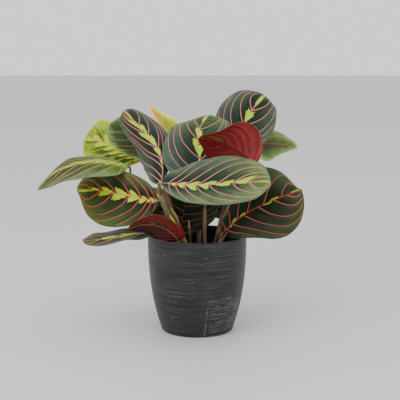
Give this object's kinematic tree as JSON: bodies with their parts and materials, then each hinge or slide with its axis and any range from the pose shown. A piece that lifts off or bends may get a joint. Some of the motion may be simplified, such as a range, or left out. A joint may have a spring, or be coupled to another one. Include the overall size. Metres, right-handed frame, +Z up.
{
  "type": "potted prayer plant",
  "caption": "Maranta prayer plant in a dark tapered pot: broad waved oval leaves with red veins and burgundy undersides on slender stems rising from soil.",
  "frame": {"origin": "centre of the pot's underside", "axes": "+Z up out of the pot, -Y the side the picture shows, +X to that view's right, along the plant's widest spread"},
  "size_m": [0.3147, 0.2193, 0.2868],
  "materials": {
    "pot": "satin",
    "soil": "matte",
    "stem": "satin",
    "leaf": "satin",
    "leaf_young": "satin"
  },
  "bodies": {
    "root": {"pot": "pot", "soil": "soil", "shoot_1": "stem", "shoot_2": "stem", "shoot_3": "stem", "shoot_4": "stem", "shoot_5": "stem", "shoot_6": "stem", "shoot_7": "stem", "shoot_8": "stem", "shoot_9": "stem", "new_leaf": "stem", "leaf_01": "leaf", "leaf_02": "leaf", "leaf_03": "leaf_young", "leaf_04": "leaf_young", "leaf_05": "leaf", "leaf_06": "leaf", "leaf_07": "leaf", "leaf_08": "leaf", "leaf_09": "leaf", "leaf_10": "leaf_young", "leaf_11": "leaf", "leaf_12": "leaf", "leaf_13": "leaf", "leaf_14": "leaf", "leaf_15": "leaf", "leaf_16": "leaf_young", "leaf_17": "leaf", "leaf_18": "leaf", "leaf_19": "leaf", "leaf_20": "leaf", "leaf_21": "leaf", "leaf_22": "leaf", "leaf_23": "leaf"}
  },
  "joints": []
}
